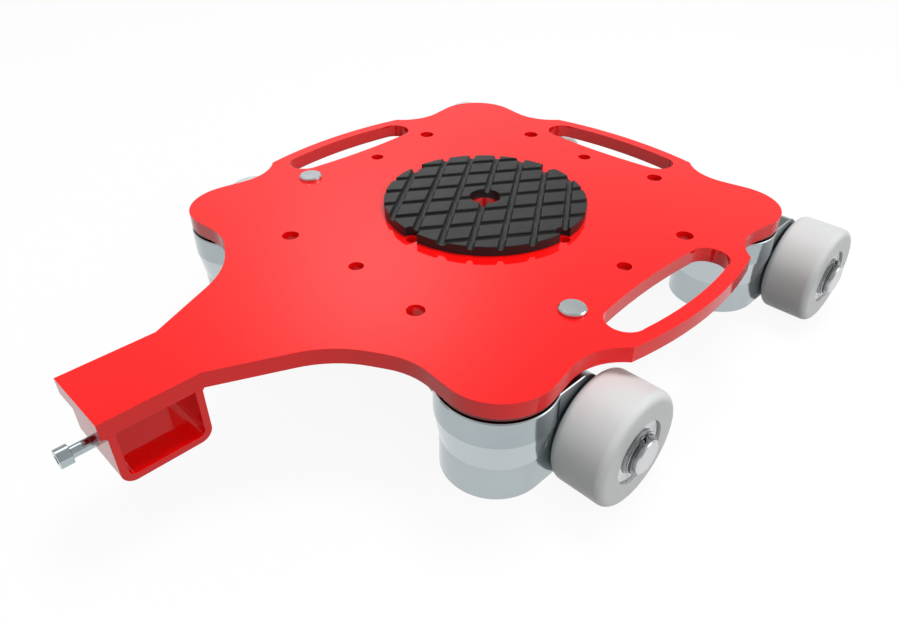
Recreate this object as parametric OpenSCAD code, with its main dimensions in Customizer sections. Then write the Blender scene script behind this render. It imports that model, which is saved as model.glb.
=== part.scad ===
// Machine skate: a red steel deck plate on four swivel casters with twin wheels.
// Origin: axis of the centre bore, at the deck plate's top face. +Z up, the tongue points to -Y.
// The floor lies at z = -(wheel_d + wheel_top_gap) below the plate's underside.

/* [Deck plate] */
// Thickness of the steel deck plate
deck_t = 12; // [8:0.5:20]
// Distance from the centre to the middle of each bowed handle edge
bow_reach = 209; // [204:0.5:214]
// Radius of the bowed handle edges
bow_r = 346; // [300:5:500]
// Distance from the centre to each swivel axis, along X and along Y
swivel_pitch = 147.5; // [143:0.5:152]
// Radius of the rounded corner lobes over the casters
lobe_r = 40.5; // [38:0.25:42]
// Radius of the hollows between a handle edge and a lobe
hollow_r = 44; // [30:0.5:60]
// Least distance from the centre line to the bottom of a hollow
hollow_reach = 183.1; // [180:0.5:186]
// Distance of a hollow's middle from the centre line along the edge
hollow_along = 112.8; // [106:0.1:116]

/* [Tongue] */
// Distance from the centre to the end of the tongue
tongue_reach = 348.6; // [340:1:380]
// Half the width of the tongue
tongue_half = 28.9; // [24:0.1:34]
// Distance from the centre to where the tongue starts to widen
tongue_root = 283.4; // [270:0.2:288]
// Radius of the hollow beside each front lobe
shoulder_r = 52.4; // [44:0.2:60]
// Distance from the centre to the top of that hollow
shoulder_reach = 186.1; // [184:0.1:188]
// Distance of that hollow's middle from the tongue's centre line
shoulder_along = 120.7; // [117:0.1:124]
// Radius of the wider hollow that runs into the tongue
flank_r = 77.3; // [70:0.1:80]
// Distance from the centre to the middle of the wider hollow
flank_reach = 266; // [264:0.5:270]
// Distance of that hollow's middle from the tongue's centre line
flank_along = 122.7; // [118:0.1:126]

/* [Handle slots] */
// Width of the strip left outside a handle slot
strip_w = 10.9; // [8:0.1:14]
// Width of a handle slot at its middle
slot_w = 37; // [30:0.5:40]
// Distance between the centres of a slot's round ends
slot_span = 111; // [80:1:114]
// Radius of the slot's inner edge
slot_inner_r = 560; // [400:10:900]

/* [Holes] */
// Diameter of the centre bore
centre_d = 26; // [16:0.5:30]
// Distance from the centre to the hole beside each edge
mid_hole_reach = 140; // [134:0.5:144]
// Diameter of those holes
mid_hole_d = 11.5; // [8:0.5:14]
// Distance from a swivel axis to its two lock holes
lock_reach = 75; // [70:0.5:80]
// Diameter of the lock holes
lock_hole_d = 13.4; // [11:0.1:16]
// Distance from the centre to the small holes at the rim of the pad
pad_hole_reach = 84; // [78:0.5:90]
// Diameter of the small holes
pad_hole_d = 10; // [6:0.5:12]

/* [Rubber pad] */
// Diameter of the rubber pad
pad_d = 170; // [140:1:180]
// Height of the rubber pad
pad_h = 8; // [6:0.5:12]
// Diameter of the notches in the pad's rim, over the small holes
notch_d = 13; // [11:0.5:16]
// Distance between two grooves, square to them
groove_pitch = 23; // [16:0.5:30]
// Width of a groove
groove_w = 5; // [3:0.25:7]
// Depth of a groove
groove_depth = 3.5; // [2:0.25:4.5]
// Bevel of a groove's lower corners
groove_bevel = 1.2; // [0.4:0.1:1.4]
// Angle of each set of grooves to the Y axis
groove_angle = 35; // [25:1:45]

/* [Bar socket] */
// Width of the opening for the bar
bar_w = 50; // [40:1:54]
// Height of the opening for the bar
bar_h = 35; // [25:1:40]
// Wall of the socket
socket_wall = 5; // [4:0.25:7]
// Inside radius of the socket's lower corners
socket_corner = 4; // [2:0.5:8]
// How far the tongue reaches past the socket
tongue_lip = 3.6; // [2:0.2:8]
// Leg of the weld beads along the socket
weld_leg = 1.5; // [1:0.25:1.9]

/* [Clamp screw] */
// Thread diameter of the clamp screw
screw_d = 8; // [6:1:10]
// Diameter of its head
screw_head_d = 13; // [10:0.5:16]
// Height of its head
screw_head_h = 8; // [6:0.5:10]
// Width across flats of the hex recess
screw_hex = 6; // [4:0.5:7]
// Depth of the hex recess
screw_hex_depth = 4; // [2:0.5:5]
// Free length between head and socket at rest
screw_free = 15.3; // [8:0.1:25]
// How far the screw's tip stays inside the socket's wall at rest
screw_inset = 0.3; // [0.2:0.1:2]
// Distance from the deck's underside to the screw
screw_drop = 21.5; // [15:0.5:24]

/* [Lock pins] */
// Diameter of a lock pin's head
pin_head_d = 20; // [18:0.5:28]
// Height of its head
pin_head_h = 3.25; // [2:0.25:6]
// Chamfer of head and tip
pin_chamfer = 1.1; // [0.3:0.1:1.2]
// How far the tip stands out below the deck
pin_tip = 1.5; // [0.5:0.1:2]

/* [Swivel head] */
// Thickness of the dark plate under each lobe
swivel_plate_t = 2.7; // [2:0.1:4]
// Diameter of that plate
swivel_plate_d = 79; // [72:0.5:81]
// Gap between that plate and the caster housing
head_gap = 1.1; // [0.6:0.1:2]
// Diameter of the kingpin
kingpin_d = 20; // [16:0.5:22]
// Depth of the kingpin's seat in the deck
kingpin_seat = 8; // [4:0.5:9]
// Thread diameter at the kingpin's end
kingpin_thread_d = 16; // [12:0.5:17]
// Outer diameter of the thrust races
race_od = 63; // [58:0.5:64]
// Bore of the thrust races
race_id = 32; // [29:0.5:34]
// Thickness of the upper race
upper_race_t = 2.5; // [2:0.1:3.5]
// Thickness of the lower race
lower_race_t = 3; // [2:0.1:4]
// Diameter of the thrust balls
thrust_ball_d = 8; // [6:0.25:9]
// Depth of the ball groove in each race
ball_bite = 0.8; // [0.4:0.1:1.2]
// Number of thrust balls in each swivel head
thrust_balls = 14; // [8:1:16]
// Wall of the kingpin bush
bush_wall = 3; // [2:0.25:4]
// Diameter of the washer under the housing
washer_d = 30; // [26:0.5:36]
// Thickness of that washer
washer_t = 3; // [2:0.25:4]
// Width across flats of the kingpin nut
nut_flats = 24; // [20:0.5:28]
// Height of the kingpin nut
nut_h = 13; // [9:0.5:15]
// Length of the kingpin's thread below the nut
kingpin_tail = 2.5; // [1:0.5:4]

/* [Caster housing] */
// Radius of the housing's upper band
band_r = 41; // [39:0.25:42]
// Height of the upper band
band_h = 20.2; // [15:0.2:25]
// Height of the taper below it
taper_h = 22; // [15:0.5:26]
// Half the width of the housing, and the radius of its lower band
body_half = 37.2; // [35:0.1:38]
// Height of the housing
housing_h = 70.2; // [64:0.2:76]
// Bevel along the housing's top and bottom edges
housing_bevel = 0.8; // [0.4:0.1:1.5]
// Thickness of the web that the kingpin passes
web_t = 23.4; // [18:0.2:28]
// Radius of the hollow under the web
hollow_under_r = 29.5; // [26:0.5:30]
// Radius of the housing's rounded upper rear corner
rear_corner_r = 21; // [14:0.5:24]
// Distance from the swivel axis to that corner's middle
rear_corner_y = 39; // [32:0.5:42]
// Radius of the boss round the axle
boss_r = 19; // [16.5:0.25:21]
// Length of the flat underside behind the swivel axis
keel_y = 28; // [20:1:32]

/* [Wheels] */
// Wheel diameter
wheel_d = 85; // [78:0.5:88]
// Wheel width
wheel_w = 41.6; // [36:0.2:48]
// Distance between the top of a wheel and the deck's underside
wheel_top_gap = 5; // [4:0.25:9]
// Distance of the axle behind the swivel axis
trail = 50; // [47:0.5:54]
// Radius of the wheel's rounded edges
wheel_edge_r = 6; // [2:0.25:8]
// Gap between the housing and a wheel
wheel_gap = 1; // [0.6:0.1:2]
// Depth of the outer bearing below the wheel's face
bearing_inset = 1.8; // [1:0.1:3]
// Depth of the inner bearing below the wheel's inner face
bearing_inset_in = 1; // [0.5:0.1:2]

/* [Axle and wheel bearings] */
// Axle diameter
axle_d = 25; // [20:0.5:26]
// How far the axle stands out of the wheel
axle_proud = 6.2; // [3:0.1:9]
// Chamfer at the axle's ends
axle_chamfer = 1; // [0.3:0.1:2]
// Outer diameter of a wheel bearing
bearing_od = 47; // [44:0.5:50]
// Width of a wheel bearing
bearing_w = 12; // [10:0.5:14]
// Outer radius of the inner ring
inner_ring_r = 16.3; // [15.8:0.1:16.6]
// Inner radius of the outer ring
outer_ring_r = 19.9; // [19.6:0.1:20.3]
// Thickness of the bearing shields
shield_t = 0.8; // [0.5:0.1:1.2]
// Diameter of the wheel bearing balls
ball_d = 6.4; // [6:0.1:6.8]
// Number of balls in a wheel bearing
balls = 9; // [6:1:12]
// Outer radius of the sleeves between housing and bearings
sleeve_r = 15.5; // [14.5:0.1:16.2]
// Bore through the middle of a wheel
wheel_core_d = 40; // [36:0.5:42]
// Outer radius of the collar between the outer bearing and the circlip
collar_r = 15.9; // [15.2:0.1:16.2]
// Width of that collar
collar_w = 3; // [2:0.1:3.4]

/* [Circlips] */
// Thickness of a circlip
circlip_t = 1.5; // [1:0.1:2]
// Outer radius of a circlip
circlip_r = 14.8; // [14.2:0.1:15.4]
// Depth of a circlip's groove in the axle
circlip_groove = 0.7; // [0.4:0.05:1]
// Angle of the gap in a circlip
circlip_gap = 9; // [6:0.5:14]
// Radius of a circlip's two lugs
lug_r = 2; // [1.6:0.1:2.2]
// Radius of the hole in each lug
lug_hole_r = 0.9; // [0.6:0.1:1.1]
// Angle at which the gap stands, from forward over the top
circlip_angle = 96.5; // [0:0.5:360]

/* [Fits] */
// Radial clearance of a turning or sliding fit
run_fit = 0.05; // [0.02:0.01:0.1]
// Radial clearance of a pressed or bolted fit
seat_fit = 0.02; // [0.01:0.01:0.05]
// Clearance round the balls in their grooves
ball_fit = 0.15; // [0.1:0.01:0.2]
// Gap between faces that turn past each other
face_gap = 0.3; // [0.2:0.05:0.5]

/* [Hidden] */
casters = [["front_right", 1, -1], ["rear_right", 1, 1], ["rear_left", -1, 1], ["front_left", -1, -1]];
caster_pieces = ["housing", "swivel_bush", "lower_race", "balls", "axle", "hub_sleeves", "inner_rings",
    "circlips", "outer_wheel", "outer_wheel_bearings", "inner_wheel", "inner_wheel_bearings"];
$fn = 96;
over = 1;

red = "#d8242a";
silver = "#c9ced0";
nylon = "#d8d8d6";
rubber = "#4a4c4c";
dark_steel = "#3a3f42";
bronze = "#a9824a";

deck_low = -deck_t;
plate_low = deck_low - swivel_plate_t;
head_z = plate_low - head_gap;
housing_low = head_z - housing_h;
upper_race_low = plate_low - upper_race_t;
race_mid_r = (race_od + race_id) / 4;
thrust_z = upper_race_low + ball_bite - thrust_ball_d / 2;
lower_race_top = thrust_z - thrust_ball_d / 2 + ball_bite;
lower_race_low = lower_race_top - lower_race_t;
web_low = lower_race_low - web_t;
washer_top = web_low - face_gap;
washer_low = washer_top - washer_t;
nut_low = washer_low - nut_h;
kingpin_low = nut_low - kingpin_tail;

wheel_r = wheel_d / 2;
axle_z = deck_low - wheel_top_gap - wheel_r;
axle_r = axle_d / 2;
wheel_in = body_half + wheel_gap;
wheel_out = wheel_in + wheel_w;
axle_half = wheel_out + axle_proud;
inner_bearing_x = wheel_in + bearing_inset_in;
outer_bearing_x = wheel_out - bearing_inset - bearing_w;
bearing_ball_r = (inner_ring_r + outer_ring_r) / 2;
collar_x = outer_bearing_x + bearing_w;
circlip_x = collar_x + collar_w + run_fit;
circlip_bore_r = axle_r - circlip_groove + run_fit;

socket_top = deck_low;
socket_low = socket_top - bar_h - socket_wall;
socket_far = -(tongue_reach - tongue_lip);
socket_near = socket_far + bar_w + 2 * socket_wall;
screw_z = deck_low - screw_drop;
screw_tip = socket_far + socket_wall - screw_inset;
screw_shoulder = socket_far - screw_free;

// Where a line crosses between two circles and touches both: the points on circle a and on circle b
function crossing_line(a, ra, b, rb, side) =
    let (d = norm(b - a),
         turn = atan2(b.y - a.y, b.x - a.x) + side * acos((ra + rb) / d),
         u = [cos(turn), sin(turn)])
    [a + ra * u, b - rb * u];

// Where a line touches two circles on the same side: the points on circle a and on circle b
function outer_line(a, ra, b, rb, side) =
    let (d = norm(b - a),
         turn = atan2(b.y - a.y, b.x - a.x) + side * acos((ra - rb) / d),
         u = [cos(turn), sin(turn)])
    [a + ra * u, b + rb * u];

// Where a line from point p touches circle c
function touch_point(p, c, r, side) =
    let (d = norm(c - p),
         reach = sqrt(d * d - r * r),
         turn = atan2(c.y - p.y, c.x - p.x) + side * asin(r / d))
    p + reach * [cos(turn), sin(turn)];

lobe = [swivel_pitch, swivel_pitch];
hollow = [hollow_reach + hollow_r, hollow_along];
side_line = crossing_line(lobe, lobe_r, hollow, hollow_r, 1);
side_end = side_line[1].y;
front_lobe = [swivel_pitch, -swivel_pitch];
shoulder = [shoulder_along, -shoulder_reach - shoulder_r];
flank = [flank_along, -flank_reach];
front_line = crossing_line(front_lobe, lobe_r, shoulder, shoulder_r, 1);
flank_line = outer_line(shoulder, shoulder_r, flank, flank_r, -1);
tongue_touch = touch_point([tongue_half, -tongue_root], flank, flank_r, 1);

function swap(p) = [p.y, p.x];
function flip(p) = [p.x, -p.y];

module both_sides() {
    children();
    mirror([1, 0, 0]) children();
}

module handle_sides() {
    for (turn = [0, 90, 180]) rotate(turn) children();
}

module at_casters() {
    for (c = casters) at_caster(c) children();
}

module at_caster(c) {
    translate([c[1] * swivel_pitch, c[2] * swivel_pitch, 0]) children();
}

// Along the axle of a caster, on its right side or mirrored to its left
module on_axle(side) {
    flip_x = side > 0 ? 0 : 1;
    translate([0, trail, axle_z]) mirror([flip_x, 0, 0]) rotate([0, 90, 0]) children();
}

module ring(outer_r, inner_r, h) {
    difference() {
        cylinder(r = outer_r, h = h);
        translate([0, 0, -over]) cylinder(r = inner_r, h = h + 2 * over);
    }
}

module slab() {
    translate([0, 0, deck_low]) linear_extrude(deck_t) children();
}

module through_deck(r) {
    translate([0, 0, deck_low - over]) cylinder(r = r, h = deck_t + 2 * over);
}

// The deck between two hollows, out to one bowed handle edge
module handle_side() {
    intersection() {
        translate([bow_reach - bow_r, 0, deck_low]) cylinder(r = bow_r, h = deck_t, $fn = 360);
        slab() translate([0, -side_end]) square([bow_reach, 2 * side_end]);
    }
}

module rear_lobe() {
    slab() translate(lobe) circle(r = lobe_r);
    slab() polygon([lobe, side_line[0], side_line[1], [0, 0], swap(side_line[1]), swap(side_line[0])]);
}

// One front lobe with its half of the tongue
module front_lobe() {
    slab() translate(front_lobe) circle(r = lobe_r);
    slab() polygon([front_lobe, front_line[0], front_line[1], flank_line[0], flank_line[1], tongue_touch,
        [tongue_half, -tongue_root], [tongue_half, -tongue_reach], [0, -tongue_reach], [0, 0],
        flip(side_line[1]), flip(side_line[0])]);
}

module handle_slot() {
    outer_r = bow_r - strip_w;
    outer_x = bow_reach - strip_w;
    inner_x = outer_x - slot_w;
    end_y = slot_span / 2;
    end_out = bow_reach - bow_r + sqrt(outer_r * outer_r - end_y * end_y);
    end_in = inner_x + slot_inner_r - sqrt(slot_inner_r * slot_inner_r - end_y * end_y);
    cut_h = deck_t + 2 * over;
    translate([0, 0, deck_low - over]) intersection() {
        translate([bow_reach - bow_r, 0, 0]) cylinder(r = outer_r, h = cut_h, $fn = 360);
        translate([inner_x + slot_inner_r, 0, 0]) cylinder(r = slot_inner_r, h = cut_h, $fn = 360);
        translate([inner_x - over, -end_y, 0]) cube([slot_w + 2 * over, slot_span, cut_h]);
    }
    for (side = [-1, 1])
        translate([(end_out + end_in) / 2, side * end_y, 0]) through_deck((end_out - end_in) / 2);
}

module lock_places() {
    for (c = casters) {
        translate([c[1] * swivel_pitch, c[2] * (swivel_pitch - lock_reach), 0]) children();
        translate([c[1] * (swivel_pitch - lock_reach), c[2] * swivel_pitch, 0]) children();
    }
}

module deck_plate() {
    color(red)
    difference() {
        union() {
            handle_sides() handle_side();
            both_sides() {
                rear_lobe();
                front_lobe();
            }
        }
        both_sides() {
            translate(hollow) through_deck(hollow_r);
            translate(flip(hollow)) through_deck(hollow_r);
            translate(swap(hollow)) through_deck(hollow_r);
            translate(shoulder) through_deck(shoulder_r);
            translate(flank) through_deck(flank_r);
        }
        handle_sides() handle_slot();
        through_deck(centre_d / 2);
        lock_places() through_deck(lock_hole_d / 2);
        for (turn = [0, 90, 180, 270]) rotate(turn) {
            translate([mid_hole_reach, 0, 0]) through_deck(mid_hole_d / 2);
            translate([pad_hole_reach, 0, 0]) through_deck(pad_hole_d / 2);
        }
        at_casters() translate([0, 0, deck_low - over])
            cylinder(r = kingpin_d / 2 + seat_fit, h = kingpin_seat + over);
    }
}

// Parallel grooves across the whole pad, with bevelled lower corners
module groove_set(turn) {
    half_count = ceil(pad_d / 2 / groove_pitch);
    half_w = groove_w / 2;
    b = groove_bevel;
    rotate(turn)
    for (k = [-half_count : half_count])
        translate([k * groove_pitch, pad_d / 2 + over, pad_h]) rotate([90, 0, 0])
            linear_extrude(pad_d + 2 * over)
                polygon([[-half_w, over], [-half_w, b - groove_depth], [b - half_w, -groove_depth],
                    [half_w - b, -groove_depth], [half_w, b - groove_depth], [half_w, over]]);
}

module rubber_pad() {
    color(rubber)
    difference() {
        cylinder(d = pad_d, h = pad_h);
        translate([0, 0, -over]) cylinder(d = centre_d, h = pad_h + 2 * over);
        for (turn = [0, 90, 180, 270])
            rotate(turn) translate([pad_hole_reach, 0, -over]) cylinder(d = notch_d, h = pad_h + 2 * over);
        groove_set(groove_angle);
        groove_set(-groove_angle);
    }
}

// Cross section of the socket seen along X: a channel with round lower corners
module channel_2d(w, h, corner) {
    translate([corner, 0]) square([w - 2 * corner, h]);
    translate([0, corner]) square([w, h - corner]);
    for (x = [corner, w - corner]) translate([x, corner]) circle(r = corner);
}

module along_x(half) {
    translate([-half, 0, 0]) rotate([90, 0, 90]) linear_extrude(2 * half) children();
}

module bar_socket() {
    color(red)
    difference() {
        union() {
            along_x(tongue_half) difference() {
                translate([socket_far, socket_low])
                    channel_2d(bar_w + 2 * socket_wall, bar_h + socket_wall, socket_corner + socket_wall);
                translate([socket_far + socket_wall, socket_low + socket_wall])
                    channel_2d(bar_w, bar_h + over, socket_corner);
            }
            along_x(tongue_half) {
                polygon([[socket_far, socket_top], [socket_far - weld_leg, socket_top],
                    [socket_far, socket_top - weld_leg]]);
                polygon([[socket_near, socket_top], [socket_near + weld_leg, socket_top],
                    [socket_near, socket_top - weld_leg]]);
            }
        }
        translate([0, socket_far - over, screw_z]) rotate([-90, 0, 0])
            cylinder(r = screw_d / 2 + run_fit, h = socket_wall + 2 * over);
    }
}

module clamp_screw() {
    screw_l = screw_tip - screw_shoulder;
    color(silver)
    translate([0, screw_shoulder, screw_z]) rotate([-90, 0, 0])
    difference() {
        union() {
            translate([0, 0, -screw_head_h]) cylinder(d = screw_head_d, h = screw_head_h);
            cylinder(d = screw_d, h = screw_l);
        }
        translate([0, 0, -screw_head_h - over])
            cylinder(d = screw_hex / cos(30), h = screw_hex_depth + over, $fn = 6);
    }
}

module lock_pin(side) {
    head_r = pin_head_d / 2;
    shank_r = lock_hole_d / 2 - run_fit;
    tip = deck_low - pin_tip;
    color(silver)
    translate([side * swivel_pitch, lock_reach - swivel_pitch, 0])
    rotate_extrude() polygon([[0, tip], [shank_r - pin_chamfer, tip], [shank_r, tip + pin_chamfer],
        [shank_r, 0], [head_r, 0], [head_r, pin_head_h - pin_chamfer], [head_r - pin_chamfer, pin_head_h],
        [0, pin_head_h]]);
}

module swivel_plates() {
    color(dark_steel)
    at_casters() translate([0, 0, plate_low])
        ring(swivel_plate_d / 2, kingpin_d / 2 + seat_fit, swivel_plate_t);
}

module kingpins() {
    color(silver)
    at_casters() {
        translate([0, 0, washer_top])
            cylinder(d = kingpin_d, h = deck_low + kingpin_seat - washer_top);
        translate([0, 0, kingpin_low]) cylinder(d = kingpin_thread_d, h = washer_top - kingpin_low);
    }
}

module race_groove(z) {
    translate([0, 0, z]) rotate_extrude()
        translate([race_mid_r, 0]) circle(d = thrust_ball_d + 2 * ball_fit);
}

module upper_races() {
    color(silver)
    at_casters() difference() {
        translate([0, 0, upper_race_low]) ring(race_od / 2, race_id / 2, upper_race_t);
        race_groove(thrust_z);
    }
}

module kingpin_washers() {
    color(silver)
    at_casters() translate([0, 0, washer_low])
        ring(washer_d / 2, kingpin_thread_d / 2 + seat_fit, washer_t);
}

module kingpin_nuts() {
    color(silver)
    at_casters() translate([0, 0, nut_low]) difference() {
        cylinder(d = nut_flats / cos(30), h = nut_h, $fn = 6);
        translate([0, 0, -over]) cylinder(r = kingpin_thread_d / 2 + seat_fit, h = nut_h + 2 * over);
    }
}

// Side view of the housing behind the swivel axis, y to the right and z up
module housing_side_2d() {
    corner = [rear_corner_y, head_z - rear_corner_r];
    boss = [trail, axle_z];
    span = norm(boss - corner);
    slope = atan2(boss.y - corner.y, boss.x - corner.x) + acos((rear_corner_r - boss_r) / span);
    u = [cos(slope), sin(slope)];
    keel = [keel_y, housing_low];
    boss_touch = touch_point(keel, boss, boss_r, -1);
    translate(corner) circle(r = rear_corner_r);
    translate(boss) circle(r = boss_r);
    polygon([[0, head_z], [rear_corner_y, head_z], corner + rear_corner_r * u, boss + boss_r * u, boss,
        boss_touch, keel, [0, housing_low]]);
}

module housing_rear() {
    w = body_half;
    e = housing_bevel;
    intersection() {
        along_x(w + over) housing_side_2d();
        translate([0, trail + boss_r + over, 0]) rotate([90, 0, 0]) linear_extrude(trail + boss_r + over)
            polygon([[-w + e, housing_low], [w - e, housing_low], [w, housing_low + e], [w, head_z - e],
                [w - e, head_z], [-w + e, head_z], [-w, head_z - e], [-w, housing_low + e]]);
    }
}

module caster_housing() {
    e = housing_bevel;
    color(silver)
    difference() {
        union() {
            rotate_extrude() polygon([[0, head_z], [band_r - e, head_z], [band_r, head_z - e],
                [band_r, head_z - band_h], [body_half, head_z - band_h - taper_h],
                [body_half, housing_low + e], [body_half - e, housing_low], [0, housing_low]]);
            housing_rear();
        }
        translate([0, 0, lower_race_low]) cylinder(r = race_od / 2 + seat_fit, h = housing_h);
        translate([0, 0, lower_race_top]) cylinder(r = race_od / 2 + 2 * face_gap, h = housing_h);
        translate([0, 0, web_low - over]) cylinder(r = kingpin_d / 2 + bush_wall + seat_fit, h = housing_h);
        translate([0, 0, housing_low - over])
            cylinder(r = hollow_under_r, h = web_low - housing_low + over);
        translate([-body_half - over, trail, axle_z]) rotate([0, 90, 0])
            cylinder(r = axle_r + seat_fit, h = 2 * body_half + 2 * over);
    }
}

module swivel_bush() {
    color(bronze)
    translate([0, 0, web_low])
        ring(kingpin_d / 2 + bush_wall, kingpin_d / 2 + run_fit, lower_race_low - web_low);
}

module lower_race() {
    color(silver)
    difference() {
        translate([0, 0, lower_race_low]) ring(race_od / 2, race_id / 2, lower_race_t);
        race_groove(thrust_z);
    }
}

module ball_row(x) {
    translate([0, 0, x + bearing_w / 2])
    for (k = [0 : balls - 1])
        rotate(k * 360 / balls) translate([bearing_ball_r, 0, 0]) sphere(d = ball_d, $fn = 32);
}

module caster_balls() {
    color(silver) {
        for (k = [0 : thrust_balls - 1])
            rotate(k * 360 / thrust_balls) translate([race_mid_r, 0, thrust_z])
                sphere(d = thrust_ball_d, $fn = 32);
        for (side = [-1, 1]) on_axle(side) {
            ball_row(inner_bearing_x);
            ball_row(outer_bearing_x);
        }
    }
}

module axle() {
    groove_r = axle_r - circlip_groove;
    clip_end = circlip_x + circlip_t;
    color(silver)
    for (side = [-1, 1]) on_axle(side)
        rotate_extrude() polygon([[0, 0], [axle_r, 0], [axle_r, circlip_x - run_fit],
            [groove_r, circlip_x - run_fit], [groove_r, clip_end + run_fit], [axle_r, clip_end + run_fit],
            [axle_r, axle_half - axle_chamfer], [axle_r - axle_chamfer, axle_half], [0, axle_half]]);
}

module hub_sleeves() {
    gap_x = inner_bearing_x + bearing_w;
    color(silver)
    for (side = [-1, 1]) on_axle(side) {
        translate([0, 0, body_half]) ring(sleeve_r, axle_r + seat_fit, inner_bearing_x - body_half);
        translate([0, 0, gap_x]) ring(sleeve_r, axle_r + seat_fit, outer_bearing_x - gap_x);
        translate([0, 0, collar_x]) ring(collar_r, axle_r + seat_fit, collar_w);
    }
}

module ball_groove() {
    translate([0, 0, bearing_w / 2]) rotate_extrude()
        translate([bearing_ball_r, 0]) circle(d = ball_d + 2 * ball_fit);
}

module inner_rings() {
    color(silver)
    for (side = [-1, 1]) on_axle(side)
        for (x = [inner_bearing_x, outer_bearing_x])
            translate([0, 0, x]) difference() {
                ring(inner_ring_r, axle_r + seat_fit, bearing_w);
                ball_groove();
            }
}

module circlip() {
    half_gap = circlip_gap / 2;
    lug_turn = half_gap + asin(lug_r / circlip_r);
    gap_reach = 2 * circlip_r;
    rotate(circlip_angle + 90)
    difference() {
        union() {
            cylinder(r = circlip_r, h = circlip_t);
            for (turn = [-lug_turn, lug_turn])
                rotate(turn) translate([circlip_r, 0, 0]) cylinder(r = lug_r, h = circlip_t);
        }
        translate([0, 0, -over]) {
            linear_extrude(circlip_t + 2 * over)
                polygon([[0, 0], gap_reach * [cos(half_gap), -sin(half_gap)],
                    gap_reach * [cos(half_gap), sin(half_gap)]]);
            cylinder(r = circlip_bore_r, h = circlip_t + 2 * over);
            for (turn = [-lug_turn, lug_turn])
                rotate(turn) translate([circlip_r, 0, 0]) cylinder(r = lug_hole_r, h = circlip_t + 2 * over);
        }
    }
}

module circlips() {
    color(dark_steel)
    for (side = [-1, 1]) on_axle(side) translate([0, 0, circlip_x]) circlip();
}

module wheel(side) {
    e = wheel_edge_r;
    seat_r = bearing_od / 2 + seat_fit;
    color(nylon)
    on_axle(side) translate([0, 0, wheel_in]) difference() {
        rotate_extrude() {
            square([wheel_r - e, wheel_w]);
            translate([0, e]) square([wheel_r, wheel_w - 2 * e]);
            for (y = [e, wheel_w - e]) translate([wheel_r - e, y]) circle(r = e);
        }
        translate([0, 0, -over]) {
            cylinder(d = wheel_core_d, h = wheel_w + 2 * over);
            cylinder(r = seat_r, h = over + bearing_inset_in + bearing_w);
        }
        translate([0, 0, wheel_w - bearing_inset - bearing_w])
            cylinder(r = seat_r, h = bearing_w + bearing_inset + over);
    }
}

module outer_rings(side) {
    shield_r = inner_ring_r + face_gap;
    color(silver)
    on_axle(side)
        for (x = [inner_bearing_x, outer_bearing_x])
            translate([0, 0, x]) difference() {
                ring(bearing_od / 2, shield_r, bearing_w);
                translate([0, 0, shield_t]) cylinder(r = outer_ring_r, h = bearing_w - 2 * shield_t);
                ball_groove();
            }
}

deck_plate();
bar_socket();
rubber_pad();
clamp_screw();
lock_pin(1);  // lock_pin_right
lock_pin(-1);  // lock_pin_left
swivel_plates();
kingpins();
upper_races();
kingpin_washers();
kingpin_nuts();
for (c = casters) at_caster(c) {
    caster_housing();
    swivel_bush();
    lower_race();
    caster_balls();
    axle();
    hub_sleeves();
    inner_rings();
    circlips();
    wheel(c[1]);
    outer_rings(c[1]);
    wheel(-c[1]);
    outer_rings(-c[1]);
}
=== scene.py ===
import math

import bmesh
import bpy
from mathutils import Matrix, Vector


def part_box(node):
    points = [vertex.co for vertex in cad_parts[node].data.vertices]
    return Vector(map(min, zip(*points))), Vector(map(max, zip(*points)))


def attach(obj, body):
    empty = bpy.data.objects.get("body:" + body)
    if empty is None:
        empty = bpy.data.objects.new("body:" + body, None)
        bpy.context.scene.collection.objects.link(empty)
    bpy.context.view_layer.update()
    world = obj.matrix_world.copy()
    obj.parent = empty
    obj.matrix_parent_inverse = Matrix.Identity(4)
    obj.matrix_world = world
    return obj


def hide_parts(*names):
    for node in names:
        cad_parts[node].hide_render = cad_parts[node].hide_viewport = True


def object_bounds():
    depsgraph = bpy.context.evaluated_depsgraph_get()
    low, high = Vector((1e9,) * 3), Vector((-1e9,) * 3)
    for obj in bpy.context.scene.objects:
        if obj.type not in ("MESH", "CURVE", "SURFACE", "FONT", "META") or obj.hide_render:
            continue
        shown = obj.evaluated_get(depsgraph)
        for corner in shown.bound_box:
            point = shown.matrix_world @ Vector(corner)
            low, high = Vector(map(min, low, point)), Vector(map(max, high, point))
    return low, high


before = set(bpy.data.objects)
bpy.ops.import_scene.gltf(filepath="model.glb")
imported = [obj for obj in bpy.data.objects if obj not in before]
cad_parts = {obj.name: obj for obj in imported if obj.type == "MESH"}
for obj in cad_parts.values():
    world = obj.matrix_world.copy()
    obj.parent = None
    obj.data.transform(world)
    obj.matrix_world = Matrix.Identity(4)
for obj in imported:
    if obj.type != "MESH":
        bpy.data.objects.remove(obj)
box_of_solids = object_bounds()


# Deck plate
# A 12 mm steel plate, flame cut, its edges eased by grinding, then sprayed a glossy signal red.
# Everything else hangs under it or lies on it; the kingpins are pressed into its underside.

deck_edge = 0.00012


def joined_copy(node, name, weld=2e-6, flat_within=0.4):
    """A new piece with a solid's shape, its flat triangles joined into whole faces."""
    shape = bmesh.new()
    shape.from_mesh(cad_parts[node].data)
    bmesh.ops.remove_doubles(shape, verts=shape.verts, dist=weld)
    flat = math.radians(flat_within)
    bmesh.ops.dissolve_limit(shape, angle_limit=flat, verts=shape.verts, edges=shape.edges)
    mesh = bpy.data.meshes.new(name)
    shape.to_mesh(mesh)
    shape.free()
    piece = bpy.data.objects.new(name, mesh)
    bpy.context.collection.objects.link(piece)
    return piece


def keep_flats_flat(piece, pull=80):
    """Lets the wide faces of a piece shade flat, and only the narrow ones between them curve."""
    normals = piece.modifiers.new("flat faces", "WEIGHTED_NORMAL")
    normals.weight = pull
    normals.keep_sharp = True


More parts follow.
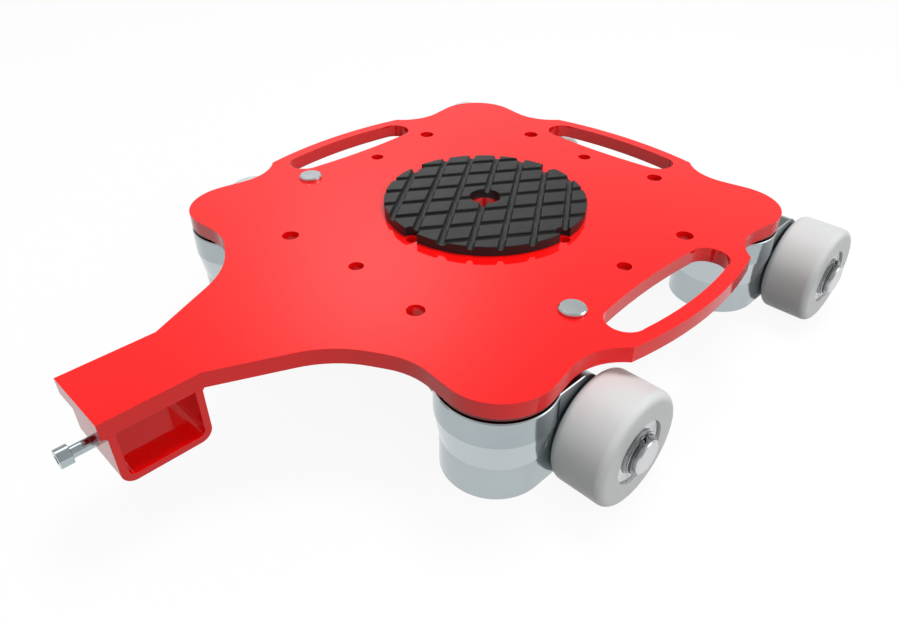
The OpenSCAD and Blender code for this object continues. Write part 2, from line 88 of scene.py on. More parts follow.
def ease_edges(piece, width, from_angle=30, pull=80):
    """Rounds every edge sharper than an angle; a lower pull of the flats keeps round walls smooth."""
    for face in piece.data.polygons:
        face.use_smooth = True
    bevel = piece.modifiers.new("eased edges", "BEVEL")
    bevel.width = width
    bevel.segments = 2
    bevel.limit_method = "ANGLE"
    bevel.angle_limit = math.radians(from_angle)
    bevel.use_clamp_overlap = False
    bevel.miter_outer = "MITER_ARC"
    keep_flats_flat(piece, pull)


def fit(piece, finish, body, node):
    """Gives a piece its finish and its place in the assembly, for the solid that it stands for."""
    piece.data.materials.append(finish)
    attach(piece, body)
    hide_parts(node)


def new_finish(name, metal=0.0, ior=1.5):
    """A material with one shader, and the coordinates of the piece that it is on."""
    finish = bpy.data.materials.new(name)
    finish.use_nodes = True
    nodes = finish.node_tree.nodes
    shader = nodes["Principled BSDF"]
    shader.inputs["Metallic"].default_value = metal
    shader.inputs["IOR"].default_value = ior
    place = nodes.new("ShaderNodeTexCoord")
    place.name = "place"
    return finish


def vary(finish, socket, low, high, scale):
    """Lets a colour or a number of the shader wander between two values."""
    tree = finish.node_tree
    noise = tree.nodes.new("ShaderNodeTexNoise")
    noise.inputs["Scale"].default_value = scale
    noise.inputs["Detail"].default_value = 3
    tree.links.new(tree.nodes["place"].outputs["Object"], noise.inputs["Vector"])
    ramp = tree.nodes.new("ShaderNodeValToRGB")
    for end, value, noise_level in zip(ramp.color_ramp.elements, (low, high), (0.3, 0.7)):
        end.position = noise_level
        end.color = (*value, 1) if isinstance(value, tuple) else (value, value, value, 1)
    tree.links.new(noise.outputs["Fac"], ramp.inputs["Fac"])
    tree.links.new(ramp.outputs["Color"], tree.nodes["Principled BSDF"].inputs[socket])


def roughen(finish, scale, height, detail=2):
    """Adds a fine relief of the given height in metres; a second call lies on the first."""
    tree = finish.node_tree
    noise = tree.nodes.new("ShaderNodeTexNoise")
    noise.inputs["Scale"].default_value = scale
    noise.inputs["Detail"].default_value = detail
    bump = tree.nodes.new("ShaderNodeBump")
    bump.inputs["Strength"].default_value = 1.0
    bump.inputs["Distance"].default_value = height
    normal = tree.nodes["Principled BSDF"].inputs["Normal"]
    if normal.is_linked:
        tree.links.new(normal.links[0].from_socket, bump.inputs["Normal"])
    tree.links.new(tree.nodes["place"].outputs["Object"], noise.inputs["Vector"])
    tree.links.new(noise.outputs["Fac"], bump.inputs["Height"])
    tree.links.new(bump.outputs["Normal"], normal)


red_paint = new_finish("red_paint", ior=1.4)
vary(red_paint, "Base Color", low=(0.95, 0.003, 0.003), high=(0.99, 0.005, 0.005), scale=7)
vary(red_paint, "Roughness", low=0.04, high=0.08, scale=60)
roughen(red_paint, scale=420, height=4e-6)

deck = joined_copy("deck_plate", "deck_plate_painted")
ease_edges(deck, width=deck_edge)
fit(deck, red_paint, "deck", "deck_plate")


# Bar socket
# A steel channel with round lower corners, welded under the end of the tongue and painted with
# it. The cross bar of the steering handle slides through it from side to side.

socket_edge = 0.0003

bar_socket = joined_copy("bar_socket", "bar_socket_painted")
ease_edges(bar_socket, width=socket_edge)
fit(bar_socket, red_paint, "deck", "bar_socket")


# Rubber pad
# A moulded disc of black rubber, glued on the middle of the deck so that the load doesn't slip.
# Two sets of round-bottomed grooves cross it, and four notches leave the small holes free.

pad_r = 0.085
pad_h = 0.008
pad_bore_r = 0.013
notch_r = 0.0065
notch_reach = 0.084
groove_half = 0.0027
groove_lip = 0.0011
groove_depth = 0.0035
groove_pitch = 0.023
groove_turns = (35, -35)
groove_end = 0.1
cut_past = 0.001
lip = 0.0005
foot_ease = 0.0003
notch_steps = 18
rim_steps = 48
groove_steps = 14


def lofted(name, loops):
    """A closed shape through loops of points that lie one after another, flat at both ends."""
    shape = bmesh.new()
    rows = [[shape.verts.new(point) for point in loop] for loop in loops]
    shape.faces.new(reversed(rows[0]))
    shape.faces.new(rows[-1])
    for low, high in zip(rows, rows[1:]):
        for k in range(len(low)):
            beyond = (k + 1) % len(low)
            shape.faces.new((low[k], low[beyond], high[beyond], high[k]))
    bmesh.ops.recalc_face_normals(shape, faces=shape.faces)
    mesh = bpy.data.meshes.new(name)
    shape.to_mesh(mesh)
    shape.free()
    return mesh


def pad_loop(inset, z):
    """The disc's rim with its four notches, drawn back by an inset, at one height."""
    rim, dent = pad_r - inset, notch_r + inset
    half = math.acos((rim**2 + notch_reach**2 - dent**2) / (2 * rim * notch_reach))
    start = math.atan2(rim * math.sin(half), rim * math.cos(half) - notch_reach)
    points = []
    for quarter in range(4):
        turn = quarter * math.pi / 2
        middle = Vector((math.cos(turn), math.sin(turn))) * notch_reach
        for k in range(notch_steps + 1):
            a = turn - start - k * (2 * math.pi - 2 * start) / notch_steps
            points.append((middle.x + dent * math.cos(a), middle.y + dent * math.sin(a), z))
        for k in range(1, rim_steps):
            a = turn + half + k * (math.pi / 2 - 2 * half) / rim_steps
            points.append((rim * math.cos(a), rim * math.sin(a), z))
    return points


def circle_loop(r, z, around=64):
    """A ring of points round the Z axis at one height."""
    turns = [2 * math.pi * k / around for k in range(around)]
    return [(r * math.cos(a), r * math.sin(a), z) for a in turns]


def carve(piece, mesh):
    """Cuts a shape out of a piece for good."""
    tool = bpy.data.objects.new("cutter", mesh)
    bpy.context.collection.objects.link(tool)
    cut = piece.modifiers.new("cut", "BOOLEAN")
    cut.operation = "DIFFERENCE"
    cut.solver = "EXACT"
    cut.object = tool
    tool.matrix_world = piece.matrix_world
    bpy.context.view_layer.update()
    shape = bpy.data.meshes.new_from_object(piece.evaluated_get(bpy.context.evaluated_depsgraph_get()))
    piece.modifiers.clear()
    piece.data = shape
    bpy.data.objects.remove(tool)


def groove_set(turn):
    """One set of parallel grooves: rounded lips at the top and half-round bottoms."""
    side = [(groove_half + 3 * groove_lip, groove_lip)]
    side += [(groove_half + groove_lip * (1 + math.cos(a)), groove_lip * (math.sin(a) - 1))
             for a in (math.radians(d) for d in (105, 120, 135, 150, 165, 180))]
    bottom = [(groove_half * math.cos(a), groove_half - groove_depth + groove_half * math.sin(a))
              for a in (-math.pi * k / groove_steps for k in range(groove_steps + 1))]
    outline = side + bottom + [(-x, z) for x, z in reversed(side)]
    shape = bmesh.new()
    each_way = int(pad_r / groove_pitch) + 1
    for k in range(-each_way, each_way + 1):
        shift = Matrix.Translation((k * groove_pitch, 0, pad_h))
        lay = Matrix.Rotation(math.radians(turn), 4, "Z") @ shift
        loops = [[lay @ Vector((x, y, z)) for x, z in outline] for y in (-groove_end, groove_end)]
        shape.from_mesh(lofted("groove", loops))
    mesh = bpy.data.meshes.new("grooves")
    shape.to_mesh(mesh)
    shape.free()
    return mesh


rubber = new_finish("rubber", ior=1.42)
vary(rubber, "Base Color", low=(0.012, 0.012, 0.012), high=(0.019, 0.019, 0.019), scale=30)
vary(rubber, "Roughness", low=0.3, high=0.4, scale=90)
roughen(rubber, scale=900, height=2e-5, detail=4)
roughen(rubber, scale=160, height=2e-5)

# How far the rim draws back at each height
wall = [(foot_ease, 0), (0, foot_ease)]
wall += [(lip * (1 - math.cos(a)), pad_h - lip + lip * math.sin(a))
         for a in (math.radians(d) for d in (0, 25, 50, 75))]
wall += [(1.3 * lip, pad_h)]
pad_mesh = lofted("rubber_pad_moulded", [pad_loop(inset, z) for inset, z in wall])
pad = bpy.data.objects.new("rubber_pad_moulded", pad_mesh)
bpy.context.collection.objects.link(pad)
carve(pad, lofted("bore", [circle_loop(pad_bore_r, -cut_past), circle_loop(pad_bore_r, pad_h - lip),
                           circle_loop(pad_bore_r + lip / 2, pad_h - lip / 4),
                           circle_loop(pad_bore_r + 3 * lip, pad_h + lip)]))
for turn in groove_turns:
    carve(pad, groove_set(turn))
for face in pad.data.polygons:
    face.use_smooth = True
pad.data.set_sharp_from_angle(angle=math.radians(38))
keep_flats_flat(pad)
fit(pad, rubber, "deck", "rubber_pad")


# Lock pins
# Two turned steel pins with flat heads. Each drops into a hole beside a front caster, where such
# a pin keeps a caster in line, and is lifted out by hand.

pin_head_r = 0.010
pin_head_h = 0.00325
pin_shank_r = 0.00665
pin_bevel = 0.0011
pin_edge = 0.0002
pin_head_edge = 0.0003
wide_ease = 0.003
wide_ease_steps = 9
small_ease_steps = 4
on_axis = 1e-7


def rounded(profile):
    """A profile of (radius, height, ease) points with each eased corner drawn as an arc."""
    points = []
    for k, (r, z, ease) in enumerate(profile):
        here = Vector((r, z))
        if ease <= 0:
            points.append(here)
            continue
        back = Vector(profile[k - 1][:2]) - here
        ahead = Vector(profile[(k + 1) % len(profile)][:2]) - here
        half = back.angle(ahead) / 2
        reach = ease / math.tan(half)
        middle = here + (back.normalized() + ahead.normalized()).normalized() * ease / math.sin(half)
        first = here + back.normalized() * reach - middle
        last = here + ahead.normalized() * reach - middle
        sweep = first.angle_signed(last)
        steps = wide_ease_steps if ease > wide_ease else small_ease_steps
        for s in range(steps + 1):
            a = -sweep * s / steps
            points.append(middle + Vector((first.x * math.cos(a) - first.y * math.sin(a),
                                           first.x * math.sin(a) + first.y * math.cos(a))))
    return points


def turned(name, profiles, middle, axis, around=96):
    """A piece turned on a lathe: closed profiles, or ones that start and end on the axis."""
    shape = bmesh.new()
    for profile in profiles:
        points = rounded(profile)
        rings = []
        for point in points:
            if point.x < on_axis:
                rings.append([shape.verts.new((0, 0, point.y))] * around)
            else:
                rings.append([shape.verts.new((point.x * math.cos(a), point.x * math.sin(a), point.y))
                              for a in (2 * math.pi * k / around for k in range(around))])
        closed = points[0].x > on_axis
        for k in range(len(rings) if closed else len(rings) - 1):
            low, high = rings[k], rings[(k + 1) % len(rings)]
            for s in range(around):
                corners = []
                for vert in (low[s], low[(s + 1) % around], high[(s + 1) % around], high[s]):
                    if vert not in corners:
                        corners.append(vert)
                if len(corners) > 2:
                    shape.faces.new(corners)
    bmesh.ops.recalc_face_normals(shape, faces=shape.faces)
    mesh = bpy.data.meshes.new(name)
    shape.to_mesh(mesh)
    shape.free()
    for face in mesh.polygons:
        face.use_smooth = True
    mesh.set_sharp_from_angle(angle=math.radians(40))
    piece = bpy.data.objects.new(name, mesh)
    bpy.context.collection.objects.link(piece)
    lean = {"X": (math.pi / 2, 4, "Y"), "Y": (-math.pi / 2, 4, "X"), "Z": (0, 4, "Z")}[axis]
    piece.matrix_world = Matrix.Translation(middle) @ Matrix.Rotation(*lean)
    return piece


def mark_turning(finish, fineness, height):
    """Adds the fine rings that a lathe tool leaves round the piece's own axis."""
    tree = finish.node_tree
    parts = tree.nodes.new("ShaderNodeSeparateXYZ")
    flat = tree.nodes.new("ShaderNodeCombineXYZ")
    reach = tree.nodes.new("ShaderNodeVectorMath")
    reach.operation = "LENGTH"
    ring = tree.nodes.new("ShaderNodeCombineXYZ")
    marks = tree.nodes.new("ShaderNodeTexNoise")
    marks.inputs["Scale"].default_value = fineness
    marks.inputs["Detail"].default_value = 3
    bump = tree.nodes.new("ShaderNodeBump")
    bump.inputs["Distance"].default_value = height
    tree.links.new(tree.nodes["place"].outputs["Object"], parts.inputs[0])
    tree.links.new(parts.outputs["X"], flat.inputs["X"])
    tree.links.new(parts.outputs["Y"], flat.inputs["Y"])
    tree.links.new(flat.outputs[0], reach.inputs[0])
    tree.links.new(reach.outputs["Value"], ring.inputs["X"])
    tree.links.new(parts.outputs["Z"], ring.inputs["Y"])
    tree.links.new(ring.outputs[0], marks.inputs["Vector"])
    tree.links.new(marks.outputs["Fac"], bump.inputs["Height"])
    tree.links.new(bump.outputs["Normal"], tree.nodes["Principled BSDF"].inputs["Normal"])


turned_steel = new_finish("turned_steel", metal=1.0)
vary(turned_steel, "Base Color", low=(0.58, 0.63, 0.65), high=(0.66, 0.71, 0.73), scale=60)
vary(turned_steel, "Roughness", low=0.08, high=0.14, scale=200)
mark_turning(turned_steel, fineness=1500, height=6e-7)

for side in ("right", "left"):
    low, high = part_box(f"lock_pin_{side}")
    pin = turned(f"lock_pin_{side}_turned", [[
        (0, low[2], 0),
        (pin_shank_r - pin_bevel, low[2], pin_edge),
        (pin_shank_r, low[2] + pin_bevel, pin_edge),
        (pin_shank_r, 0, 0),
        (pin_head_r, 0, pin_edge),
        (pin_head_r, pin_head_h - pin_bevel, pin_head_edge),
        (pin_head_r - pin_bevel, pin_head_h, pin_head_edge),
        (0, pin_head_h, 0)]],
        ((low[0] + high[0]) / 2, (low[1] + high[1]) / 2, 0), "Z")
    keep_flats_flat(pin)
    fit(pin, turned_steel, f"lock_pin_{side}", f"lock_pin_{side}")


# Clamp screw
# A plated M8 cap screw with a hex recess. It goes through the front wall of the bar socket and
# presses on the cross bar, and its plain shank shows between the head and the wall.

screw_head_r = 0.0065
screw_head_h = 0.008
screw_shank_r = 0.004
screw_edge = 0.0003
hex_r = 0.00346
hex_depth = 0.004

bright_steel = new_finish("bright_steel", metal=1.0)
vary(bright_steel, "Base Color", low=(0.38, 0.44, 0.46), high=(0.44, 0.50, 0.52), scale=40)
vary(bright_steel, "Roughness", low=0.05, high=0.09, scale=150)
roughen(bright_steel, scale=900, height=1e-6)

low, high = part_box("clamp_screw")
shoulder = low[1] + screw_head_h
tip = high[1] - shoulder
clamp_screw = turned("clamp_screw_plated", [[
    (0, -screw_head_h, 0),
    (screw_head_r, -screw_head_h, screw_edge),
    (screw_head_r, 0, screw_edge),
    (screw_shank_r, 0, 0),
    (screw_shank_r, tip, screw_edge),
    (0, tip, 0)]],
    ((low[0] + high[0]) / 2, shoulder, (low[2] + high[2]) / 2), "Y")
# The recess flares at its mouth, and the flare runs on above the head so that the cut is clean
carve(clamp_screw, lofted("hex recess", [
    circle_loop(hex_r + 4 * screw_edge, -screw_head_h - 3 * screw_edge, around=6),
    circle_loop(hex_r, -screw_head_h + screw_edge, around=6),
    circle_loop(hex_r, -screw_head_h + hex_depth, around=6)]))
clamp_screw.data.set_sharp_from_angle(angle=math.radians(35))
keep_flats_flat(clamp_screw)
fit(clamp_screw, bright_steel, "clamp_screw", "clamp_screw")


# Swivel heads
# Under each corner: a dark steel plate, a kingpin pressed into the deck, its washer and nut, and
# a thrust bearing between two ground races. The plates are blackened, with a painted red reflection
# of the deck on their undersides; the kingpins, washers and nuts are bright.

plate_edge = 0.0003
kingpin_edge = 0.0003
washer_edge = 0.0003
nut_edge = 0.0006
red_reflection_h = 0.0013
painted_red_reflection = (0.2, 0.006, 0.006)


def coat(node, finish):
    """Gives a solid that keeps its own shape a new finish."""
    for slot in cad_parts[node].material_slots:
        slot.material = finish


def paint_red_reflection_below(finish, level, reflected_red):
    """Paints a red reflection of the deck on a finish below a height; the wandering colour stays above
    it.
    """
    tree = finish.node_tree
    shader = tree.nodes["Principled BSDF"]
    parts = tree.nodes.new("ShaderNodeSeparateXYZ")
    under = tree.nodes.new("ShaderNodeMath")
    under.operation = "LESS_THAN"
    under.inputs[1].default_value = level
    cover = tree.nodes.new("ShaderNodeMix")
    cover.data_type = "RGBA"
    cover.inputs["B"].default_value = (*reflected_red, 1)
    bare = tree.nodes.new("ShaderNodeMapRange")
    bare.inputs["To Min"].default_value = shader.inputs["Metallic"].default_value
    bare.inputs["To Max"].default_value = 0.0
    tree.links.new(tree.nodes["place"].outputs["Object"], parts.inputs[0])
    tree.links.new(parts.outputs["Z"], under.inputs[0])
    tree.links.new(under.outputs[0], cover.inputs["Factor"])
    tree.links.new(under.outputs[0], bare.inputs["Value"])
    tree.links.new(shader.inputs["Base Color"].links[0].from_socket, cover.inputs["A"])
    tree.links.new(cover.outputs["Result"], shader.inputs["Base Color"])
    tree.links.new(bare.outputs["Result"], shader.inputs["Metallic"])


dark_steel = new_finish("dark_steel", metal=0.4)
vary(dark_steel, "Base Color", low=(0.04, 0.055, 0.06), high=(0.08, 0.1, 0.11), scale=60)
# The plates' undersides carry a painted red reflection of the deck
paint_red_reflection_below(dark_steel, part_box("swivel_plates")[0][2] + red_reflection_h, painted_red_reflection)
vary(dark_steel, "Roughness", low=0.3, high=0.45, scale=120)
roughen(dark_steel, scale=600, height=4e-6)

ground_steel = new_finish("ground_steel", metal=1.0)
vary(ground_steel, "Base Color", low=(0.50, 0.51, 0.53), high=(0.60, 0.61, 0.63), scale=50)
vary(ground_steel, "Roughness", low=0.16, high=0.3, scale=180)
roughen(ground_steel, scale=1200, height=1.5e-6)

swivel_plates = joined_copy("swivel_plates", "swivel_plates_blackened")
ease_edges(swivel_plates, width=plate_edge)
fit(swivel_plates, dark_steel, "deck", "swivel_plates")
for node, name, width in (("kingpins", "kingpins_turned", kingpin_edge),
                          ("kingpin_washers", "kingpin_washers_pressed", washer_edge),
                          ("kingpin_nuts", "kingpin_nuts_plated", nut_edge)):
    piece = joined_copy(node, name)
    ease_edges(piece, width=width)
    fit(piece, bright_steel, "deck", node)
coat("upper_races", ground_steel)


# Caster housings
# Cast and machined steel heads: a round upper band that tapers to a block with the axle's boss.
# They are ground smooth and left bare, with a fine bevel round the top.

housing_edge = 0.0004
head_z = -0.0158
foot_z = -0.086
band_low = -0.036
taper_low = -0.058
rim_h = 0.0009
seam = 0.0004
top_seam_low = 0.0003
top_seam_high = 0.0001
cloud_low = 0.93
cloud_high = 1.07
# The band, taper and skirt greys are the steel's tone with painted reflection, lighter or darker band
# by band
band_painted_reflection_grey = (0.385, 0.44, 0.46)
taper_painted_reflection_grey = (0.50, 0.55, 0.57)
skirt_painted_reflection_grey = (0.43, 0.48, 0.50)
# The rim grey is a painted highlight along the bevels at the top and the foot
rim_painted_highlight_grey = (0.62, 0.68, 0.70)
# The top grey is painted shade on the housing's top face
top_painted_shade_grey = (0.20, 0.225, 0.23)


def paint_band_reflections(finish, bands):
    """Gives each band of the housing a grey by height: the steel's tone with painted reflection,
    highlight or shade.
    """
    tree = finish.node_tree
    parts = tree.nodes.new("ShaderNodeSeparateXYZ")
    height = tree.nodes.new("ShaderNodeMapRange")
    height.inputs["From Min"].default_value = foot_z
    height.inputs["From Max"].default_value = head_z
    ramp = tree.nodes.new("ShaderNodeValToRGB")
    stops = ramp.color_ramp.elements
    stops[0].color = (*bands[0][2], 1)
    stops[1].color = (*bands[-1][2], 1)
    edges = [(z, grey) for low, high, grey in bands for z in (low, high)]
    for z, grey in edges[1:-1]:
        stops.new((z - foot_z) / (head_z - foot_z)).color = (*grey, 1)
    cloud = tree.nodes.new("ShaderNodeTexNoise")
    cloud.inputs["Scale"].default_value = 30
    depth = tree.nodes.new("ShaderNodeMapRange")
    depth.inputs["To Min"].default_value = cloud_low
    depth.inputs["To Max"].default_value = cloud_high
    shade = tree.nodes.new("ShaderNodeVectorMath")
    shade.operation = "SCALE"
    tree.links.new(tree.nodes["place"].outputs["Object"], parts.inputs[0])
    tree.links.new(tree.nodes["place"].outputs["Object"], cloud.inputs["Vector"])
    tree.links.new(parts.outputs["Z"], height.inputs["Value"])
    tree.links.new(height.outputs["Result"], ramp.inputs["Fac"])
    tree.links.new(cloud.outputs["Fac"], depth.inputs["Value"])
    tree.links.new(ramp.outputs["Color"], shade.inputs[0])
    tree.links.new(depth.outputs["Result"], shade.inputs["Scale"])
    tree.links.new(shade.outputs[0], tree.nodes["Principled BSDF"].inputs["Base Color"])


def part_bands(piece, level_within=1e-6, least_angle=1.5):
    """Keeps the level edge between two turned bands crisp, so that each band shades by itself."""
    shape = bmesh.new()
    shape.from_mesh(piece.data)
    for edge in shape.edges:
        one, two = edge.verts
        level = abs(one.co.z - two.co.z) < level_within
        if level and edge.is_manifold and edge.calc_face_angle() > math.radians(least_angle):
            edge.smooth = False
    shape.to_mesh(piece.data)
    shape.free()


housing_steel = new_finish("housing_steel", metal=1.0)
# Greys by height: painted reflection on the bands, a painted highlight on the rims, painted shade on
# the top face
paint_band_reflections(housing_steel, (
    (foot_z, foot_z + 0.7 * rim_h, rim_painted_highlight_grey),
    (foot_z + rim_h, taper_low - seam, skirt_painted_reflection_grey),
    (taper_low + seam, band_low - seam, taper_painted_reflection_grey),
    (band_low + seam, head_z - rim_h, band_painted_reflection_grey),
    (head_z - 0.7 * rim_h, head_z - top_seam_low, rim_painted_highlight_grey),
    (head_z - top_seam_high, head_z, top_painted_shade_grey)))
vary(housing_steel, "Roughness", low=0.12, high=0.16, scale=90)
roughen(housing_steel, scale=500, height=1.5e-6)

bronze = new_finish("bronze", metal=1.0)
vary(bronze, "Base Color", low=(0.52, 0.33, 0.15), high=(0.64, 0.43, 0.21), scale=80)
vary(bronze, "Roughness", low=0.25, high=0.42, scale=160)
roughen(bronze, scale=800, height=4e-6)

corners = ("front_right", "rear_right", "rear_left", "front_left")
for corner in corners:
    housing = joined_copy(f"{corner}_housing", f"{corner}_housing_ground")
    part_bands(housing)
    ease_edges(housing, width=housing_edge, from_angle=28, pull=50)
    fit(housing, housing_steel, f"{corner}_caster", f"{corner}_housing")
    coat(f"{corner}_swivel_bush", bronze)
    coat(f"{corner}_lower_race", ground_steel)
    coat(f"{corner}_balls", ground_steel)


# Axles
# A turned steel bar through each housing with chamfered ends. Sleeves keep the bearings apart,
# a narrow collar lies outside the outer one, and a circlip in a groove holds it all.

axle_r = 0.0125
axle_bevel = 0.001
axle_edge = 0.0003
clip_groove = 0.001
clip_in = 0.081
clip_out = 0.0826
sleeve_edge = 0.0003
clip_edge = 0.00012

ground_turned = new_finish("ground_turned_steel", metal=1.0)
vary(ground_turned, "Base Color", low=(0.57, 0.58, 0.59), high=(0.62, 0.63, 0.64), scale=50)
vary(ground_turned, "Roughness", low=0.22, high=0.27, scale=180)
roughen(ground_turned, scale=1200, height=1.2e-7)

spring_steel = new_finish("spring_steel", metal=1.0)
vary(spring_steel, "Base Color", low=(0.16, 0.165, 0.175), high=(0.26, 0.265, 0.275), scale=160)
vary(spring_steel, "Roughness", low=0.22, high=0.34, scale=240)
roughen(spring_steel, scale=900, height=4e-6)

for corner in corners:
    low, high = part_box(f"{corner}_axle")
    middle = [(low[k] + high[k]) / 2 for k in range(3)]
    end = (high[0] - low[0]) / 2
    one_end = [(0, end, 0), (axle_r - axle_bevel, end, axle_edge),
               (axle_r, end - axle_bevel, axle_edge),
               (axle_r, clip_out, 0), (axle_r - clip_groove, clip_out, 0),
               (axle_r - clip_groove, clip_in, 0), (axle_r, clip_in, 0)]
    profile = [(r, -z, ease) for r, z, ease in one_end] + list(reversed(one_end))
    axle = turned(f"{corner}_axle_turned", [profile], middle, "X", around=72)
    keep_flats_flat(axle)
    fit(axle, ground_turned, f"{corner}_caster", f"{corner}_axle")
    sleeves = joined_copy(f"{corner}_hub_sleeves", f"{corner}_hub_sleeves_turned")
    ease_edges(sleeves, width=sleeve_edge)
    fit(sleeves, ground_turned, f"{corner}_caster", f"{corner}_hub_sleeves")
    clips = joined_copy(f"{corner}_circlips", f"{corner}_circlips_sprung")
    ease_edges(clips, width=clip_edge)
    fit(clips, spring_steel, f"{corner}_caster", f"{corner}_circlips")


# Wheels
# Cast nylon rollers with well-rounded shoulders, turned and bored for two ball bearings each.
# Both wheels of a caster turn by themselves on the same axle.

wheel_shoulder = 0.006
seat_r = 0.02352
seat_edge_in = 0.0004
seat_edge_out = 0.0003
core_r = 0.020
core_edge = 0.0003
bearing_w = 0.012
inset_out = 0.0018
inset_in = 0.001

nylon = new_finish("nylon", ior=1.5)
vary(nylon, "Base Color", low=(0.67, 0.683, 0.683), high=(0.71, 0.723, 0.723), scale=35)
vary(nylon, "Roughness", low=0.32, high=0.45, scale=80)
roughen(nylon, scale=700, height=5e-6)

for corner in corners:
    axle_low, axle_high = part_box(f"{corner}_axle")
    for row in ("outer", "inner"):
        node = f"{corner}_{row}_wheel"
        low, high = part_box(node)
        middle = [(low[k] + high[k]) / 2 for k in range(3)]
        wheel_r = (high[2] - low[2]) / 2
        half = (high[0] - low[0]) / 2
        # The outer side of a wheel is the one away from its housing
        away = 1 if middle[0] > (axle_low[0] + axle_high[0]) / 2 else -1
        core_out = half - inset_out - bearing_w
        core_in = -half + inset_in + bearing_w
        profile = [(seat_r, -half, seat_edge_in),
                   (wheel_r, -half, wheel_shoulder), (wheel_r, half, wheel_shoulder),
                   (seat_r, half, seat_edge_out), (seat_r, core_out, 0),
                   (core_r, core_out, core_edge), (core_r, core_in, core_edge),
                   (seat_r, core_in, 0)]
        profile = [(r, away * z, ease) for r, z, ease in profile]
        wheel = turned(f"{node}_cast", [profile], middle, "X", around=128)
        keep_flats_flat(wheel)
        fit(wheel, nylon, node, node)


# Wheel bearings
# Deep-groove ball bearings with ground rings. A pressed shield closes each side, clipped in a
# step of the outer ring, with a narrow gap to the inner ring.

ring_out_r = 0.0235
ring_in_r = 0.0206
ring_edge = 0.0005
step_edge = 0.0001
step_slope = 0.0002
shield_sink = 0.0003
shield_step_r = 0.0187
shield_in_r = 0.0166
shield_thick = 0.0008
track_r = 0.0199

for corner in corners:
    for row in ("outer", "inner"):
        node = f"{corner}_{row}_wheel_bearings"
        low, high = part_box(node)
        middle = [(low[k] + high[k]) / 2 for k in range(3)]
        reach = (high[0] - low[0]) / 2
        half = bearing_w / 2
        shield_back = half - shield_sink - shield_thick
        face = [(ring_in_r, half, step_edge), (ring_in_r - step_slope, half - shield_sink, 0),
                (shield_step_r, half - shield_sink, 0),
                (shield_step_r - step_slope, half - 2 * shield_sink, 0),
                (shield_in_r, half - 2 * shield_sink, 0), (shield_in_r, shield_back, 0),
                (track_r, shield_back, 0)]
        ring = ([(ring_out_r, -half, ring_edge), (ring_out_r, half, ring_edge)] + face
                + [(r, -z, ease) for r, z, ease in reversed(face)])
        pair = [[(r, z + shift, ease) for r, z, ease in ring] for shift in (half - reach, reach - half)]
        bearings = turned(f"{node}_ground", pair, middle, "X")
        keep_flats_flat(bearings)
        fit(bearings, ground_turned, f"{corner}_{row}_wheel", node)
    coat(f"{corner}_inner_rings", ground_steel)


# Studio
# A pale floor and a white surround, in which polished steel sees three soft windows and a darker
# side behind the camera. One lamp hangs overhead, a fainter one stands to the right, and the
# camera looks down over the front right corner.

floor_reach = 6
floor_glow = 0.92
floor_bounce = 0.1
sky_light = 0.4
mirror_level = 0.58
# Azimuth, elevation and spread in degrees, and what each adds to the level in mirrors
mirror_patches = ((142, 35, 9, 1.17), (166, 62, 10, 3.0), (42, 26, 16, 2.4), (-45, 25, 38, -0.28))
lens_mm = 29.642
camera_place = (0.37718, -0.42025, 0.28767)
camera_tilt = 54.736
camera_turn = 45


def lit_white(tree, dim):
    """A colour strength of 1 to the eye and in reflections, and a dimmer one for the light."""
    path = tree.nodes.new("ShaderNodeLightPath")
    seen = tree.nodes.new("ShaderNodeMath")
    seen.operation = "MAXIMUM"
    also = tree.nodes.new("ShaderNodeMath")
    also.operation = "MAXIMUM"
    tree.links.new(path.outputs["Is Camera Ray"], seen.inputs[0])
    tree.links.new(path.outputs["Is Glossy Ray"], seen.inputs[1])
    tree.links.new(seen.outputs[0], also.inputs[0])
    tree.links.new(path.outputs["Is Transmission Ray"], also.inputs[1])
    spread = tree.nodes.new("ShaderNodeMapRange")
    spread.inputs["To Min"].default_value = dim
    spread.inputs["To Max"].default_value = 1.0
    tree.links.new(also.outputs[0], spread.inputs["Value"])
    return also.outputs[0], spread.outputs["Result"]


def mirror_sky(tree, strength, even, patches):
    """Lets mirrors see an even surround with soft brighter or darker patches in some directions."""
    place = tree.nodes.new("ShaderNodeTexCoord")
    total = tree.nodes.new("ShaderNodeValue").outputs[0]
    total.default_value = even
    for *angles, extra in patches:
        azimuth, elevation, spread = (math.radians(angle) for angle in angles)
        facing = tree.nodes.new("ShaderNodeVectorMath")
        facing.operation = "DOT_PRODUCT"
        facing.inputs[1].default_value = (math.cos(azimuth) * math.cos(elevation),
                                          math.sin(azimuth) * math.cos(elevation), math.sin(elevation))
        tree.links.new(place.outputs["Generated"], facing.inputs[0])
        slope = tree.nodes.new("ShaderNodeMath")
        slope.operation = "MULTIPLY_ADD"
        slope.inputs[1].default_value = 2 / spread**2
        slope.inputs[2].default_value = -2 / spread**2
        tree.links.new(facing.outputs["Value"], slope.inputs[0])
        bell = tree.nodes.new("ShaderNodeMath")
        bell.operation = "EXPONENT"
        tree.links.new(slope.outputs[0], bell.inputs[0])
        step = tree.nodes.new("ShaderNodeMath")
        step.operation = "MULTIPLY_ADD"
        step.inputs[1].default_value = extra
        tree.links.new(bell.outputs[0], step.inputs[0])
        tree.links.new(total, step.inputs[2])
        total = step.outputs[0]
    path = tree.nodes.new("ShaderNodeLightPath")
    choice = tree.nodes.new("ShaderNodeMix")
    tree.links.new(path.outputs["Is Glossy Ray"], choice.inputs["Factor"])
    tree.links.new(strength, choice.inputs["A"])
    tree.links.new(total, choice.inputs["B"])
    return choice.outputs["Result"]


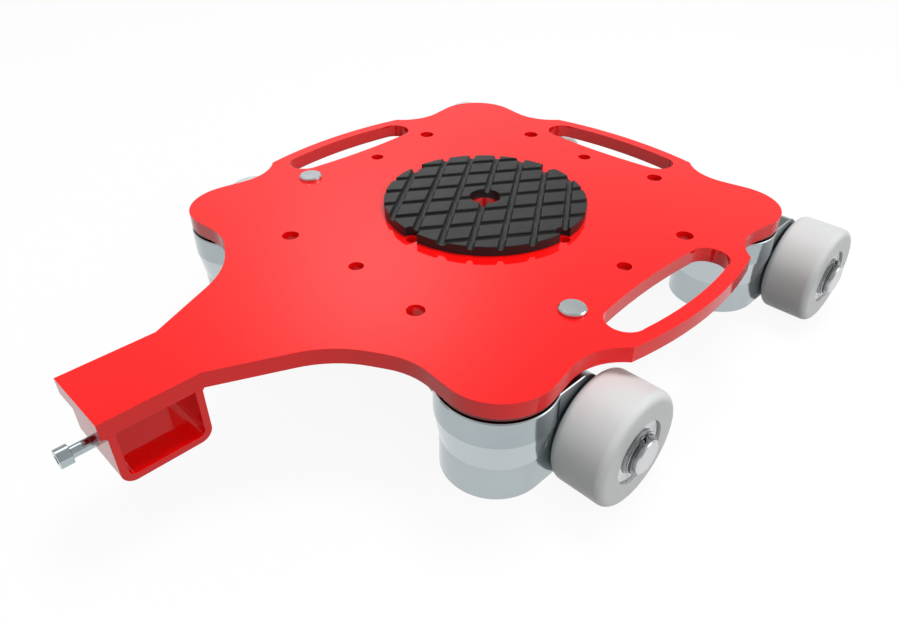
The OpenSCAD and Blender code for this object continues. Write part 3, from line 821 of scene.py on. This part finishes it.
floor_z = box_of_solids[0][2]
floor_mesh = bpy.data.meshes.new("floor")
floor_corners = [(x * floor_reach, y * floor_reach, floor_z)
                 for x, y in ((-1, -1), (1, -1), (1, 1), (-1, 1))]
floor_mesh.from_pydata(floor_corners, [], [(0, 1, 2, 3)])
floor = bpy.data.objects.new("floor", floor_mesh)
bpy.context.collection.objects.link(floor)
floor_finish = bpy.data.materials.new("pale_floor")
floor_finish.use_nodes = True
floor_tree = floor_finish.node_tree
floor_tree.nodes.remove(floor_tree.nodes["Principled BSDF"])
matt = floor_tree.nodes.new("ShaderNodeBsdfDiffuse")
glow = floor_tree.nodes.new("ShaderNodeEmission")
blend = floor_tree.nodes.new("ShaderNodeMixShader")
share = floor_tree.nodes.new("ShaderNodeMath")
share.operation = "MULTIPLY"
share.inputs[1].default_value = floor_glow
seen_by_eye, paleness = lit_white(floor_tree, floor_bounce)
floor_tree.links.new(paleness, matt.inputs["Color"])
floor_tree.links.new(seen_by_eye, share.inputs[0])
floor_tree.links.new(share.outputs[0], blend.inputs["Fac"])
floor_tree.links.new(matt.outputs[0], blend.inputs[1])
floor_tree.links.new(glow.outputs[0], blend.inputs[2])
floor_tree.links.new(blend.outputs[0], floor_tree.nodes["Material Output"].inputs["Surface"])
floor_mesh.materials.append(floor_finish)

surround = bpy.data.worlds.new("white_surround")
surround.use_nodes = True
bpy.context.scene.world = surround
sky = surround.node_tree.nodes["Background"]
sky.inputs["Color"].default_value = (1, 1, 1, 1)
white = lit_white(surround.node_tree, sky_light)[1]
sheen = mirror_sky(surround.node_tree, white, mirror_level, mirror_patches)
surround.node_tree.links.new(sheen, sky.inputs["Strength"])

for name, place, size, power in (("lamp_overhead", (0.0, 0.5, 2.15), 0.8, 30.5),
                                 ("lamp_right", (2.2, -0.4, 1.2), 1.2, 20.0)):
    lamp = bpy.data.objects.new(name, bpy.data.lights.new(name, "AREA"))
    lamp.data.size = size
    lamp.data.energy = power
    lamp.location = place
    lamp.rotation_euler = Vector(place).to_track_quat("Z", "Y").to_euler()
    lamp.visible_glossy = False
    bpy.context.collection.objects.link(lamp)

camera = bpy.data.objects.new("camera", bpy.data.cameras.new("camera"))
camera.data.lens = lens_mm
camera.data.sensor_width = 36
camera.location = camera_place
camera.rotation_euler = (math.radians(camera_tilt), 0, math.radians(camera_turn))
bpy.context.collection.objects.link(camera)
bpy.context.scene.camera = camera
bpy.context.scene.view_settings.view_transform = "Standard"
